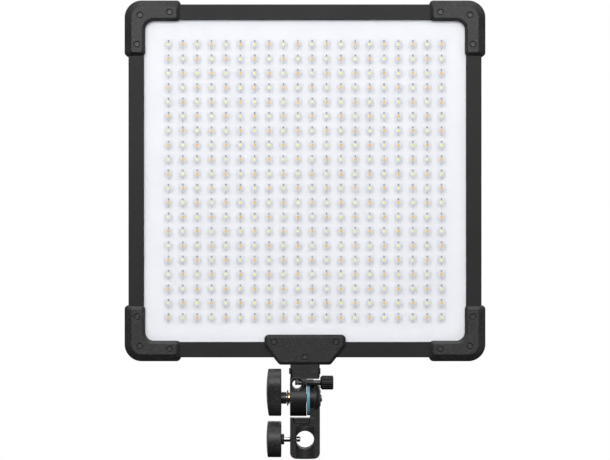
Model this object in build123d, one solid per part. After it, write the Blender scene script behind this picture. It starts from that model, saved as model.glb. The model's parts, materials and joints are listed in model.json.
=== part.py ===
"""LED panel light on a tilting stand bracket.

A square aluminium frame carries a board of 400 LEDs behind a clear lens sheet. A plate
clamped over the bottom bar joins the frame to a tilt head, and the tilt head swings on a
bolt through the arm of a two-way stand socket.

Millimetres. +Z is up and the light shines towards -Y. The origin is at the centre of the
mouth of the upright stand socket, so everything below is measured from there.
"""

import os
from math import cos, radians, sin

from build123d import *

# ---- driving dimensions ----------------------------------------------------------------

FIT = 0.1  # gap between pieces that are fastened together
SWING_GAP = 0.3  # gap between faces that move past each other
RUNNING = 0.05  # radial clearance of a shaft that turns in its hole

# stand socket
SPIGOT_BORE_R = 8.175  # takes the standard 15.875 mm stand spigot
SOCKET_DEPTH = 30.0
CROSS_BORE_Z = 17.2
BURR_RELIEF_R = 8.75  # groove round the cross bore where the clamp screw bites the spigot
BURR_RELIEF_HALF = 3.6
RECEIVER_HALF_X = 13.5
RECEIVER_TOP = 36.6
RECEIVER_CORNER = 5.4
WING_HALF_Y = 10.0
BARREL_BULGE_R = 13.2
BULGE_TOP = 30.9
BULGE_CHAMFER = 2.0
SCOOP_FLOOR_Y = 7.0  # hollow above the bulge, front and back
SCOOP_FLOOR_X = (-8.4, 3.2)
SCOOP_FLOOR_LOW = 32.2
SCOOP_SIDE_LEAN = 2.2  # how far the left side leans outwards on its way up
SCOOP_WIDENING = 0.4  # of each side per millimetre towards the face

# tilt joint
TILT_Z = 54.6
TILT_BOLT_R = 4.0
ARM_X = (4.4, 13.5)
ARM_STEP_X = 8.6
ARM_TOP_R = 14.5
ARM_HUB_R = 12.5
ARM_BOSS_R = 7.8
ARM_BOSS_X = 14.2
ARM_BOSS_CHAMFER = 0.5
ARM_EDGE_ROUND = 4.0
TILT_BOLT_END_X = 15.6
TILT_BOLT_END_ROUND = 1.8
HEAD_BARREL_R = 16.5
HEAD_BARREL_X = (-13.6, 1.4)
HEAD_BARREL_CHAMFER = 0.6
FRICTION_DISC_R = 15.9
THRUST_WASHER_R = 5.4
STEEL_WASHER_R = 7.15
WASHER_THICKNESS = 1.2

# umbrella tube in the tilt head
UMBRELLA_BORE_R = 4.15
UMBRELLA_TUBE_R = 6.4
UMBRELLA_X = -7.3
UMBRELLA_Z = TILT_Z + 12.5
UMBRELLA_TUBE_Y = (-16.0, 15.2)
UMBRELLA_TUBE_CHAMFER = 0.3
UMBRELLA_FLARE = 1.8
UMBRELLA_RELIEF_R = 4.6
UMBRELLA_RELIEF_HALF = 2.7
THUMB_Y = -12.8
THUMB_Z = TILT_Z + 14.4
THUMB_SCREW_R = 2.3
THUMB_PAD_HALF = 3.2
THUMB_BOSS_R = 2.9
THUMB_BOSS_END_X = 7.7
THUMB_TIP_X = -9.0
THUMB_PAD_LENGTH = 2.6
THUMB_PAD_ROUND = 0.6
THUMB_PEG_R = 0.9
THUMB_PEG_LENGTH = 1.4
THUMB_KNOB_X = (13.8, 25.6)
THUMB_KNOB_R = 6.35
THUMB_KNOB_CHAMFERS = (1.6, 0.7)
THUMB_KNOB_CAP = 3.0  # solid end beyond the screw
THUMB_RIBS = 18
THUMB_GROOVE_R = 0.6
THUMB_GROOVE_CENTRE_R = THUMB_KNOB_R + 0.2

# handles on the left
HANDLE_X = (-34.9, -21.4)
HANDLE_R = 16.4
HANDLE_CROWN_R = 122.0
HANDLE_EDGE = 1.0
HANDLE_SKIN = 4.0  # solid left face in front of the screw or insert
LEVER_TIP_R = 13.5
LEVER_REACH = 15.3
LEVER_ANGLE = 60.0  # from straight forward, upwards
LEVER_HUB_R = 5.4
LEVER_STEM_R = 5.0
LEVER_STEM_CAP = 1.5
CLAMP_SCREW_R = 2.45
CLAMP_TIP_X = -4.2
CLAMP_PAD_LENGTH = 3.5
CLAMP_PAD_ROUND = 0.9
CLAMP_PEG_R = 1.1
CLAMP_PEG_LENGTH = 1.8
PEG_END_GAP = 0.2  # between a peg and the bottom of its hole
PAD_UNDERSIZE = 0.05  # a swivelling tip is this much smaller in radius than its screw
CLAMP_HUB_R = 4.85
CLAMP_HUB_X = -18.85

# neck between the tilt head and the frame
NECK_HALF_X = 13.3
NECK_HALF_Y = 10.0
NECK_BOTTOM = TILT_Z + 17.5
NECK_JOINT_Z = TILT_Z + 24.4
NECK_CORNER = 1.5
EAR_THICKNESS = 1.6
EAR_LEDGE = 0.5  # the head is this much narrower than the foot on each side
EAR_R = 5.6
CROSS_BOLT_Z = TILT_Z + 24.2
CROSS_BOLT_R = 1.5
CROSS_HEAD_R = 2.75
CROSS_HEAD_HEIGHT = 1.2
CROSS_HEAD_ROUND = 0.6
CROSS_SOCKET_R = 1.0
CROSS_SOCKET_DEPTH = 0.7
CROSS_NUT_HEIGHT = 0.7
CROSS_BOLT_STICKS_OUT = 0.4

# frame
PANEL_Z = TILT_Z + 196.4
BAR_OUTER = 159.5  # half the frame's outer side
BAR_FACE = 14.0
BAR_INNER = BAR_OUTER - BAR_FACE
BAR_HALF_Y = 8.0
BAR_WEB = 2.0
BAR_FLANGE = 1.5
BAR_EDGE = 0.6

# corner caps
CAP_OUTER = 163.0
CAP_LEG = 50.5
CAP_WIDTH = 18.6
CAP_RIM_Y = 7.6
CAP_FRONT_Y = 10.6
CAP_OUTER_SLOPE = 6.3
CAP_INNER_SLOPE = 2.7
CAP_END_SLOPE = 3.6
CAP_CORNER_R = 15.5
CAP_INNER_R = 8.0
CAP_END_R = 3.5
BAR_CORNER_R = CAP_CORNER_R - CAP_OUTER + BAR_OUTER
CAP_SCREWS = [(14.0, 13.5), (40.7, 10.8), (11.3, 40.0)]  # inwards from the cap's corner
KEY_INNER = 149.6
KEY_LEG = 47.0
KEY_GUSSET = 7.6

# small screws of the caps and the mount plates
SCREW_R = 1.25
SCREW_HEAD_R = 2.1
SCREW_HEAD_HEIGHT = 1.4
SCREW_POCKET_R = 3.1
SCREW_POCKET_DEPTH = 1.7
SCREW_SOCKET_R = 0.9
SCREW_SOCKET_DEPTH = 0.8
SCREW_HEAD_ROUND = 0.5
CAP_SCREW_LENGTH = 8.0
PLATE_SCREW_LENGTH = 7.0
BOX_SCREW_LENGTH = 6.0
KEY_HOLE_END_Y = 4.0

# sheets held in the frame's channel
SHEET_HALF = 149.0
SHEET_CORNER = 7.4
LENS_Y = (-6.4, -5.4)
BOARD_Y = (-3.3, -1.7)
COVER_Y = (4.9, 6.4)
SPACER_WIDTH = 2.4
SPACER_HALF_LENGTH = 135.0
NOTCH_HALF_X = 34.6
NOTCH_TOP = TILT_Z + 55.5
LED_COUNT = 20
LED_PITCH = 13.0
LED_FIELD_Z = PANEL_Z - 0.1
LED_SIZE = (2.8, 0.8, 3.5)

# mount plates and foot
PLATE_HALF_X = 36.7
PLATE_TOP = TILT_Z + 57.5
PLATE_SHOULDER = TILT_Z + 47.3
PLATE_BOTTOM = TILT_Z + 30.3
PLATE_FOOT_HALF_X = 23.2
PLATE_THICKNESS = 2.5
PLATE_CORNER = 4.0
PLATE_BEVEL = (2.6, 1.2)
PLATE_SCREWS = [(-28.0, TILT_Z + 50.6), (28.0, TILT_Z + 50.6), (0.0, TILT_Z + 37.0)]
FOOT_HEAD_HALF_X = 34.0
FOOT_HEAD_TOP = TILT_Z + 55.0
FOOT_HALF_Y = 6.3

# connection box on the back
BOX_HALF_X = 45.0
BOX_HALF_Z = 25.0
BOX_Z = PANEL_Z - 55.0
BOX_BACK_Y = 30.0
BOX_WALL = 2.0
BOX_FLANGE = 7.0
BOX_ROUND = 3.0
BOX_POST_R = 2.5
BOX_POSTS = [(x, z) for x in (-32.0, 32.0) for z in (-15.0, 15.0)]
BOX_SCREWS = [(x, z) for x in (-48.5, 48.5) for z in (-20.0, 20.0)]
LINK_HALF_X = 8.0
LINK_HALF_Z = 3.0
LINK_SLOT_GAP = 0.5
INTERFACE_BOARD_Y = (12.0, 13.6)
INTERFACE_BOARD_HALF_X = 36.0
INTERFACE_BOARD_HALF_Z = 19.0
INLET_Y = 20.0
INLET_SHELL_R = 6.0
INLET_BORE_R = 4.8
INLET_SHELL_OUT = 7.0  # below the box
INLET_SHELL_IN = 4.0  # past the box's wall
INLET_FLANGE_R = 8.0
INLET_FLANGE_THICKNESS = 2.0
INLET_NUT_HEIGHT = 2.0
INLET_INSERT_OUT = 1.0
INLET_PIN_REACH = 6.0
INLET_PIN_R = 0.8
INLET_PIN_CIRCLE_R = 2.6
INLET_PINS = 4

FAR = 400.0  # longer than anything that is cut right through


# ---- basic shapes ----------------------------------------------------------------------


def block(x, y, z):
    """A box from its low and high X, Y and Z."""
    size = (x[1] - x[0], y[1] - y[0], z[1] - z[0])
    return Pos(x[0], y[0], z[0]) * Box(*size, align=(Align.MIN, Align.MIN, Align.MIN))


def rod_x(radius, x, y, z):
    """A round bar along X, from x[0] to x[1]."""
    bar = Cylinder(radius, x[1] - x[0], align=(Align.CENTER, Align.CENTER, Align.MIN))
    return Pos(x[0], y, z) * Rot(0, 90, 0) * bar


def rod_y(radius, x, y, z):
    """A round bar along Y, from y[0] to y[1]."""
    bar = Cylinder(radius, y[1] - y[0], align=(Align.CENTER, Align.CENTER, Align.MIN))
    return Pos(x, y[0], z) * Rot(-90, 0, 0) * bar


def rod_z(radius, x, y, z):
    """A round bar along Z, from z[0] to z[1]."""
    bar = Cylinder(radius, z[1] - z[0], align=(Align.CENTER, Align.CENTER, Align.MIN))
    return Pos(x, y, z[0]) * bar


def plate_y(outline, y):
    """A plate with the given outline, drawn as (X, Z), between y[0] and y[1]."""
    slab = extrude(outline, amount=y[1] - y[0], dir=(0, 0, 1))
    return Pos(0, y[1], 0) * Rot(90, 0, 0) * slab


def prism_x(outline, x):
    """A prism with the given outline, drawn as (Y, Z), between x[0] and x[1]."""
    slab = extrude(outline, amount=x[1] - x[0], dir=(0, 0, 1))
    return Plane.YZ.offset(x[0]) * slab


def at_edge(part, axis, value, tolerance=0.01):
    """The edges of a part that lie wholly at one position along an axis."""
    return part.edges().filter_by_position(axis, value - tolerance, value + tolerance)


def front_to_back(part):
    """The same piece on the other side of the frame's middle plane."""
    return mirror(part, about=Plane.XZ)


# ---- stand receiver --------------------------------------------------------------------


def receiver_front_outline():
    """Front view of the socket block, with its two round bottom corners."""
    corners = [
        (-RECEIVER_HALF_X, RECEIVER_TOP),
        (-RECEIVER_HALF_X, 0),
        (RECEIVER_HALF_X, 0),
        (RECEIVER_HALF_X, RECEIVER_TOP),
    ]
    outline = make_face(Polyline(*corners, close=True))
    low = outline.vertices().sort_by(Axis.Y)[:2]
    return fillet(low, RECEIVER_CORNER)


def socket_block():
    """A flat block with a round bulge front and back, which gives the bores their wall."""
    wings = block((-FAR, FAR), (-WING_HALF_Y, WING_HALF_Y), (0, RECEIVER_TOP))
    bulge = rod_z(BARREL_BULGE_R, 0, 0, (0, BULGE_TOP))
    bulge = chamfer(at_edge(bulge, Axis.Z, BULGE_TOP), BULGE_CHAMFER)
    body = plate_y(receiver_front_outline(), (-FAR, FAR)) & (wings + bulge)
    return body - scoop() - front_to_back(scoop())


def scoop_outline(y):
    """The scoop's outline, drawn as (X, Z), at a distance y from the middle plane."""
    growth = SCOOP_WIDENING * (y - SCOOP_FLOOR_Y)
    left, right = SCOOP_FLOOR_X[0] - growth, SCOOP_FLOOR_X[1] + growth
    low, high = SCOOP_FLOOR_LOW - growth, RECEIVER_TOP + 1
    corners = [(left - SCOOP_SIDE_LEAN, high), (left, low), (right, low), (right, high)]
    return Pos(0, 0, y) * make_face(Polyline(*corners, close=True))


def scoop():
    """The hollow in the front above the bulge, with sloped sides."""
    outlines = [scoop_outline(y) for y in (SCOOP_FLOOR_Y, WING_HALF_Y + 1)]
    return Rot(90, 0, 0) * loft(outlines, ruled=True)


def receiver_arm():
    """The upright beside the tilt head, with a round end and an outer boss."""
    low = RECEIVER_TOP - 1
    outer_x = (ARM_STEP_X, ARM_X[1])
    inner_x = (ARM_X[0], ARM_STEP_X)
    inner_y = WING_HALF_Y - 1
    end = rod_x(ARM_TOP_R, outer_x, 0, TILT_Z)
    end = fillet(at_edge(end, Axis.X, ARM_X[1]), ARM_EDGE_ROUND)
    arm = end + block(outer_x, (-WING_HALF_Y, WING_HALF_Y), (low, TILT_Z))
    arm += rod_x(ARM_HUB_R, inner_x, 0, TILT_Z)
    arm += block(inner_x, (-inner_y, inner_y), (low, TILT_Z))
    boss = rod_x(ARM_BOSS_R, (ARM_STEP_X, ARM_BOSS_X), 0, TILT_Z)
    return arm + chamfer(at_edge(boss, Axis.X, ARM_BOSS_X), ARM_BOSS_CHAMFER)


def receiver():
    body = socket_block() + receiver_arm()
    body -= rod_z(SPIGOT_BORE_R, 0, 0, (-1, SOCKET_DEPTH))
    body -= rod_y(SPIGOT_BORE_R, 0, (-FAR, FAR), CROSS_BORE_Z)
    body -= rod_y(BURR_RELIEF_R, 0, (-BURR_RELIEF_HALF, BURR_RELIEF_HALF), CROSS_BORE_Z)
    body -= rod_x(CLAMP_SCREW_R + RUNNING, (-FAR, 0), 0, CROSS_BORE_Z)
    body -= rod_x(TILT_BOLT_R + FIT, (0, FAR), 0, TILT_Z)
    return body


# ---- handles ---------------------------------------------------------------------------


def crowned(outline, y, z):
    """A grip with the given outline (Y, Z), whose left face is slightly domed."""
    grip = prism_x(outline, HANDLE_X)
    grip = fillet(at_edge(grip, Axis.X, HANDLE_X[1]), HANDLE_EDGE)
    dome = Pos(HANDLE_X[0] + HANDLE_CROWN_R, y, z) * Sphere(HANDLE_CROWN_R)
    grip &= dome
    rim = grip.edges().group_by(Axis.X)[0]
    return fillet(rim, HANDLE_EDGE)


def lever_tip():
    """Where the middle of the lever's tip lies, as (Y, Z)."""
    angle = radians(LEVER_ANGLE)
    return -LEVER_REACH * cos(angle), TILT_Z + LEVER_REACH * sin(angle)


def tilt_lever():
    """An egg-shaped lever: two circles joined by their common tangents."""
    tip = lever_tip()
    circles = Pos(0, TILT_Z) * Circle(HANDLE_R) + Pos(*tip) * Circle(LEVER_TIP_R)
    outline = make_hull(circles.edges())
    lever = crowned(outline, tip[0] / 2, (tip[1] + TILT_Z) / 2)
    hollow = (HANDLE_X[0] + HANDLE_SKIN, HANDLE_X[1] + 1)
    return lever - rod_x(LEVER_STEM_R + FIT, hollow, 0, TILT_Z)


def lever_insert():
    """The threaded metal insert, whose collar is the lever's hub."""
    stem_end = HANDLE_X[0] + HANDLE_SKIN + FIT
    collar_x = (HANDLE_X[1] + FIT, washer_stack()[-1] - SWING_GAP)
    insert = rod_x(LEVER_STEM_R, (stem_end, collar_x[1]), 0, TILT_Z)
    insert += rod_x(LEVER_HUB_R, collar_x, 0, TILT_Z)
    return insert - rod_x(TILT_BOLT_R + RUNNING, (stem_end + LEVER_STEM_CAP, 0), 0, TILT_Z)


def clamp_knob():
    """The round knob of the stand clamp, with a short hub."""
    outline = Pos(0, CROSS_BORE_Z) * Circle(HANDLE_R)
    knob = crowned(outline, 0, CROSS_BORE_Z)
    knob += rod_x(CLAMP_HUB_R, (HANDLE_X[1], CLAMP_HUB_X), 0, CROSS_BORE_Z)
    hollow = (HANDLE_X[0] + HANDLE_SKIN, CLAMP_HUB_X + 1)
    return knob - rod_x(CLAMP_SCREW_R + FIT, hollow, 0, CROSS_BORE_Z)


def screw_with_pocket(radius, x, y, z, pocket_x, pocket_r):
    """A plain screw shank with a blind hole in its end for a swivelling tip."""
    return rod_x(radius, x, y, z) - rod_x(pocket_r, pocket_x, y, z)


def clamp_screw():
    end = CLAMP_TIP_X - CLAMP_PAD_LENGTH - FIT
    start = HANDLE_X[0] + HANDLE_SKIN + FIT
    pocket = (end + FIT - CLAMP_PEG_LENGTH - PEG_END_GAP, end + 1)
    return screw_with_pocket(
        CLAMP_SCREW_R, (start, end), 0, CROSS_BORE_Z, pocket, CLAMP_PEG_R + RUNNING
    )


def clamp_pad():
    """The swivelling tip that presses on the spigot, on a small peg."""
    back = CLAMP_TIP_X - CLAMP_PAD_LENGTH
    pad = rod_x(CLAMP_SCREW_R - PAD_UNDERSIZE, (back, CLAMP_TIP_X), 0, CROSS_BORE_Z)
    pad = fillet(at_edge(pad, Axis.X, CLAMP_TIP_X), CLAMP_PAD_ROUND)
    return pad + rod_x(CLAMP_PEG_R, (back - CLAMP_PEG_LENGTH, back), 0, CROSS_BORE_Z)


# ---- tilt joint ------------------------------------------------------------------------


def washer_stack():
    """X of the stack's faces, from the tilt head outwards."""
    first = HEAD_BARREL_X[0] - SWING_GAP
    return first, first - WASHER_THICKNESS, first - 2 * WASHER_THICKNESS


def ring_x(outer, inner, x):
    """A flat washer round the tilt axis."""
    return rod_x(outer, x, 0, TILT_Z) - rod_x(inner, x, 0, TILT_Z)


def tilt_bolt():
    start = HANDLE_X[0] + HANDLE_SKIN + LEVER_STEM_CAP + SWING_GAP
    bolt = rod_x(TILT_BOLT_R, (start, TILT_BOLT_END_X), 0, TILT_Z)
    return fillet(at_edge(bolt, Axis.X, TILT_BOLT_END_X), TILT_BOLT_END_ROUND)


def friction_disc():
    return ring_x(FRICTION_DISC_R, TILT_BOLT_R + FIT, (HEAD_BARREL_X[1] + SWING_GAP, ARM_X[0]))


def thrust_washer():
    stack = washer_stack()
    return ring_x(THRUST_WASHER_R, TILT_BOLT_R + FIT, (stack[1], stack[0]))


def steel_washer():
    stack = washer_stack()
    return ring_x(STEEL_WASHER_R, TILT_BOLT_R + FIT, (stack[2], stack[1]))


def ear(side, growth=0.0):
    """One ear of the foot, round the cross bolt. side is -1 or 1."""
    x = sorted((side * (NECK_HALF_X - EAR_THICKNESS - growth), side * (NECK_HALF_X + growth)))
    radius = EAR_R + growth
    plate = rod_x(radius, x, 0, CROSS_BOLT_Z)
    return plate + block(x, (-radius, radius), (CROSS_BOLT_Z, NECK_JOINT_Z + 1))


def umbrella_tube():
    """The outside of the tube across the head, with the pad for its thumb screw."""
    tube = rod_y(UMBRELLA_TUBE_R, UMBRELLA_X, UMBRELLA_TUBE_Y, UMBRELLA_Z)
    tube = chamfer(at_edge(tube, Axis.Y, UMBRELLA_TUBE_Y[0]), UMBRELLA_TUBE_CHAMFER)
    pad_x = (UMBRELLA_X, HEAD_BARREL_X[1])
    pad_y = (THUMB_Y - THUMB_PAD_HALF, 1 - NECK_HALF_Y)
    pad = block(pad_x, pad_y, (THUMB_Z - THUMB_PAD_HALF, THUMB_Z + THUMB_PAD_HALF))
    front = at_edge(pad, Axis.Y, pad_y[0]).filter_by(Axis.X)
    return tube + chamfer(front, THUMB_PAD_HALF / 2)


def flared(rod, axis, low, high, flare):
    """A rod whose ends widen at 45 degrees, for cutting a hole with lead-ins."""
    for end in (low, high):
        rim = at_edge(rod, axis, end).edge()
        centre = rim.arc_center
        inwards = 1 if end == low else -1
        direction = axis.direction * inwards
        cone = Cone(rim.radius + flare, rim.radius, flare)
        rod += Plane(centre + direction * flare / 2, z_dir=direction) * cone
    return rod


def umbrella_bore():
    """The hole for the umbrella shaft, with its lead-ins and the relief at the screw."""
    bore = rod_y(UMBRELLA_BORE_R, UMBRELLA_X, UMBRELLA_TUBE_Y, UMBRELLA_Z)
    bore = flared(bore, Axis.Y, *UMBRELLA_TUBE_Y, UMBRELLA_FLARE)
    relief_y = (THUMB_Y - UMBRELLA_RELIEF_HALF, THUMB_Y + UMBRELLA_RELIEF_HALF)
    return bore + rod_y(UMBRELLA_RELIEF_R, UMBRELLA_X, relief_y, UMBRELLA_Z)


def tilt_head():
    barrel = rod_x(HEAD_BARREL_R, HEAD_BARREL_X, 0, TILT_Z)
    left_edge = at_edge(barrel, Axis.X, HEAD_BARREL_X[0])
    barrel = chamfer(left_edge, HEAD_BARREL_CHAMFER)
    web = block(HEAD_BARREL_X, (-NECK_HALF_Y, NECK_HALF_Y), (TILT_Z, NECK_BOTTOM + 1))
    half_x = NECK_HALF_X - EAR_LEDGE
    neck = block((-half_x, half_x), (-NECK_HALF_Y, NECK_HALF_Y), (NECK_BOTTOM, NECK_JOINT_Z - FIT))
    neck = chamfer(neck.edges().filter_by(Axis.Z), NECK_CORNER)
    boss = rod_x(THUMB_BOSS_R, (UMBRELLA_X, THUMB_BOSS_END_X), THUMB_Y, THUMB_Z)
    head = barrel + web + neck + umbrella_tube() + boss
    head -= umbrella_bore()
    head -= rod_x(THUMB_SCREW_R + RUNNING, (UMBRELLA_X, FAR), THUMB_Y, THUMB_Z)
    head -= rod_x(TILT_BOLT_R + RUNNING, (-FAR, FAR), 0, TILT_Z)
    head -= rod_x(CROSS_BOLT_R + FIT, (-FAR, FAR), 0, CROSS_BOLT_Z)
    return head - ear(-1, FIT) - ear(1, FIT)


def thumb_screw():
    start = THUMB_TIP_X + THUMB_PAD_LENGTH + FIT
    end = THUMB_KNOB_X[1] - THUMB_KNOB_CAP
    pocket = (start - 1, start - FIT + THUMB_PEG_LENGTH + PEG_END_GAP)
    return screw_with_pocket(
        THUMB_SCREW_R, (start, end), THUMB_Y, THUMB_Z, pocket, THUMB_PEG_R + RUNNING
    )


def thumb_pad():
    back = THUMB_TIP_X + THUMB_PAD_LENGTH
    pad = rod_x(THUMB_SCREW_R - PAD_UNDERSIZE, (THUMB_TIP_X, back), THUMB_Y, THUMB_Z)
    pad = fillet(at_edge(pad, Axis.X, THUMB_TIP_X), THUMB_PAD_ROUND)
    return pad + rod_x(THUMB_PEG_R, (back, back + THUMB_PEG_LENGTH), THUMB_Y, THUMB_Z)


def thumb_knob():
    """A ribbed knob with a tapered inner end."""
    knob = rod_x(THUMB_KNOB_R, THUMB_KNOB_X, THUMB_Y, THUMB_Z)
    for end, width in zip(THUMB_KNOB_X, THUMB_KNOB_CHAMFERS):
        knob = chamfer(at_edge(knob, Axis.X, end), width)
    for i in range(THUMB_RIBS):
        angle = radians(360 * i / THUMB_RIBS)
        y = THUMB_Y + THUMB_GROOVE_CENTRE_R * cos(angle)
        z = THUMB_Z + THUMB_GROOVE_CENTRE_R * sin(angle)
        knob -= rod_x(THUMB_GROOVE_R, THUMB_KNOB_X, y, z)
    hollow = (0, THUMB_KNOB_X[1] - THUMB_KNOB_CAP + FIT)
    return knob - rod_x(THUMB_SCREW_R + FIT, hollow, THUMB_Y, THUMB_Z)


# ---- foot and mount plates -------------------------------------------------------------


def bracket_foot():
    """A T whose head is trapped in the bottom bar and whose stem ends in two ears."""
    head_low = PANEL_Z - BAR_OUTER + BAR_WEB + FIT
    half_x = FOOT_HEAD_HALF_X
    foot = block((-half_x, half_x), (-FOOT_HALF_Y, FOOT_HALF_Y), (head_low, FOOT_HEAD_TOP))
    stem_x = (-NECK_HALF_X, NECK_HALF_X)
    foot += block(stem_x, (-FOOT_HALF_Y, FOOT_HALF_Y), (NECK_JOINT_Z, head_low + 1))
    shoulder = block(stem_x, (-NECK_HALF_Y, NECK_HALF_Y), (NECK_JOINT_Z, PLATE_BOTTOM - FIT))
    foot += chamfer(shoulder.edges().filter_by(Axis.Z), NECK_CORNER)
    foot += ear(-1) + ear(1)
    foot -= rod_x(CROSS_BOLT_R + FIT, (-FAR, FAR), 0, CROSS_BOLT_Z)
    for x, z in PLATE_SCREWS:
        foot -= rod_y(SCREW_R + FIT, x, (-FAR, FAR), z)
    return foot


def plate_outline():
    corners = [
        (-PLATE_HALF_X, PLATE_TOP),
        (-PLATE_HALF_X, PLATE_SHOULDER),
        (-PLATE_FOOT_HALF_X, PLATE_BOTTOM),
        (PLATE_FOOT_HALF_X, PLATE_BOTTOM),
        (PLATE_HALF_X, PLATE_SHOULDER),
        (PLATE_HALF_X, PLATE_TOP),
    ]
    return make_face(FilletPolyline(*corners, radius=PLATE_CORNER, close=True))


def mount_plate():
    """The front plate: a trapezoid with a bevelled border and three sunk screws."""
    back_y = -BAR_HALF_Y - FIT
    front_y = back_y - PLATE_THICKNESS
    plate = plate_y(plate_outline(), (front_y, back_y))
    front_face = plate.faces().sort_by(Axis.Y)[0]
    width, depth = PLATE_BEVEL
    plate = chamfer(at_edge(plate, Axis.Y, front_y), width, depth, reference=front_face)
    for x, z in PLATE_SCREWS:
        plate -= screw_pocket(x, z, front_y)
    return plate


def screw_pocket(x, z, front_y):
    """A counterbore in a face at front_y, with the screw's hole through the wall."""
    pocket = rod_y(SCREW_POCKET_R, x, (front_y - 1, front_y + SCREW_POCKET_DEPTH), z)
    return pocket + rod_y(SCREW_R + FIT, x, (front_y - 1, 0), z)


def panel_screw(x, z, front_y, length):
    """A pan-head screw with a hex socket, sunk in its pocket and pointing back."""
    seat = front_y + SCREW_POCKET_DEPTH
    top = seat - SCREW_HEAD_HEIGHT
    head = rod_y(SCREW_HEAD_R, x, (top, seat), z)
    head = fillet(at_edge(head, Axis.Y, top), SCREW_HEAD_ROUND)
    hexagon = extrude(RegularPolygon(SCREW_SOCKET_R, 6), amount=SCREW_SOCKET_DEPTH)
    socket = Pos(x, top, z) * Rot(-90, 0, 0) * hexagon
    return head + rod_y(SCREW_R, x, (seat, seat + length), z) - socket


def mount_plate_screws():
    front_y = -BAR_HALF_Y - FIT - PLATE_THICKNESS
    front = [panel_screw(x, z, front_y, PLATE_SCREW_LENGTH) for x, z in PLATE_SCREWS]
    return front + [front_to_back(screw) for screw in front]


def cross_bolt():
    shank = (-NECK_HALF_X, NECK_HALF_X + CROSS_BOLT_STICKS_OUT)
    top = -NECK_HALF_X - CROSS_HEAD_HEIGHT
    head = rod_x(CROSS_HEAD_R, (top, -NECK_HALF_X), 0, CROSS_BOLT_Z)
    head = fillet(at_edge(head, Axis.X, top), CROSS_HEAD_ROUND)
    hexagon = extrude(RegularPolygon(CROSS_SOCKET_R, 6), amount=CROSS_SOCKET_DEPTH)
    socket = Pos(top, 0, CROSS_BOLT_Z) * Rot(0, 90, 0) * hexagon
    return head + rod_x(CROSS_BOLT_R, shank, 0, CROSS_BOLT_Z) - socket


def cross_nut():
    hexagon = extrude(RegularPolygon(CROSS_HEAD_R, 6), amount=CROSS_NUT_HEIGHT)
    nut = Pos(NECK_HALF_X, 0, CROSS_BOLT_Z) * Rot(0, 90, 0) * hexagon
    return nut - rod_x(CROSS_BOLT_R + FIT, (0, FAR), 0, CROSS_BOLT_Z)


# ---- frame bars and corners ------------------------------------------------------------


def corner_turns():
    """The names of the four corners and what mirrors the upper left piece to each."""
    level = Plane.XY.offset(PANEL_Z)
    return {
        "top_left": lambda part: part,
        "top_right": lambda part: mirror(part, about=Plane.YZ),
        "bottom_left": lambda part: mirror(part, about=level),
        "bottom_right": lambda part: mirror(mirror(part, about=Plane.YZ), about=level),
    }


def rounded_square(half, radius):
    """A square prism along Y with rounded corners, for trimming what lies at a corner."""
    return plate_y(RectangleRounded(2 * half, 2 * half, radius), (-FAR, FAR))


def frame_bar(turn):
    """A mitred channel bar, made as the top one and turned about the frame's centre."""
    corners = [
        (-BAR_OUTER, BAR_OUTER),
        (BAR_OUTER, BAR_OUTER),
        (BAR_INNER, BAR_INNER),
        (-BAR_INNER, BAR_INNER),
    ]
    bar = plate_y(make_face(Polyline(*corners, close=True)), (-BAR_HALF_Y, BAR_HALF_Y))
    rails = bar.edges().filter_by(Axis.X)
    bar = chamfer(rails, BAR_EDGE)
    inside = BAR_HALF_Y - BAR_FLANGE
    bar -= block((-FAR, FAR), (-inside, inside), (0, BAR_OUTER - BAR_WEB))
    bar &= rounded_square(BAR_OUTER, BAR_CORNER_R)
    bar = Pos(0, 0, PANEL_Z) * Rot(0, turn, 0) * bar
    for x, z in cap_screw_places():
        bar -= rod_y(SCREW_R + FIT, x, (-FAR, 0), z)
    return bar


def bottom_bar():
    """The bar that the foot passes through and the mount plates clamp."""
    bar = frame_bar(180)
    slot_x = NECK_HALF_X + FIT
    slot_y = FOOT_HALF_Y + FIT
    low = PANEL_Z - BAR_OUTER
    bar -= block((-slot_x, slot_x), (-slot_y, slot_y), (low - 1, low + BAR_WEB + 1))
    for x, z in PLATE_SCREWS:
        bar -= rod_y(SCREW_R + FIT, x, (-FAR, FAR), z)
    return bar


def cap_screw_places():
    """Every cap screw as (X, Z), corner by corner."""
    return [
        (sx * (CAP_OUTER - across), PANEL_Z + sz * (CAP_OUTER - down))
        for sx in (-1, 1)
        for sz in (-1, 1)
        for across, down in CAP_SCREWS
    ]


def cap_outline(outer_inset, inner_inset, end_inset, level):
    """The L of the upper left cap, with its sides moved in, at a height above mid-plane."""
    low, wide, long = outer_inset, CAP_WIDTH - inner_inset, CAP_LEG - end_inset
    inwards = [(low, low), (long, low), (long, wide), (wide, wide), (wide, long), (low, long)]
    points = [(-CAP_OUTER + u, CAP_OUTER - v) for u, v in inwards]
    end_r = CAP_END_R - end_inset / 2
    inner_r = CAP_INNER_R + inner_inset
    radii = [CAP_CORNER_R - outer_inset, end_r, end_r, inner_r, end_r, end_r]
    outline = make_face(FilletPolyline(*points, radius=radii, close=True))
    return Pos(0, 0, level) * outline


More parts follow.
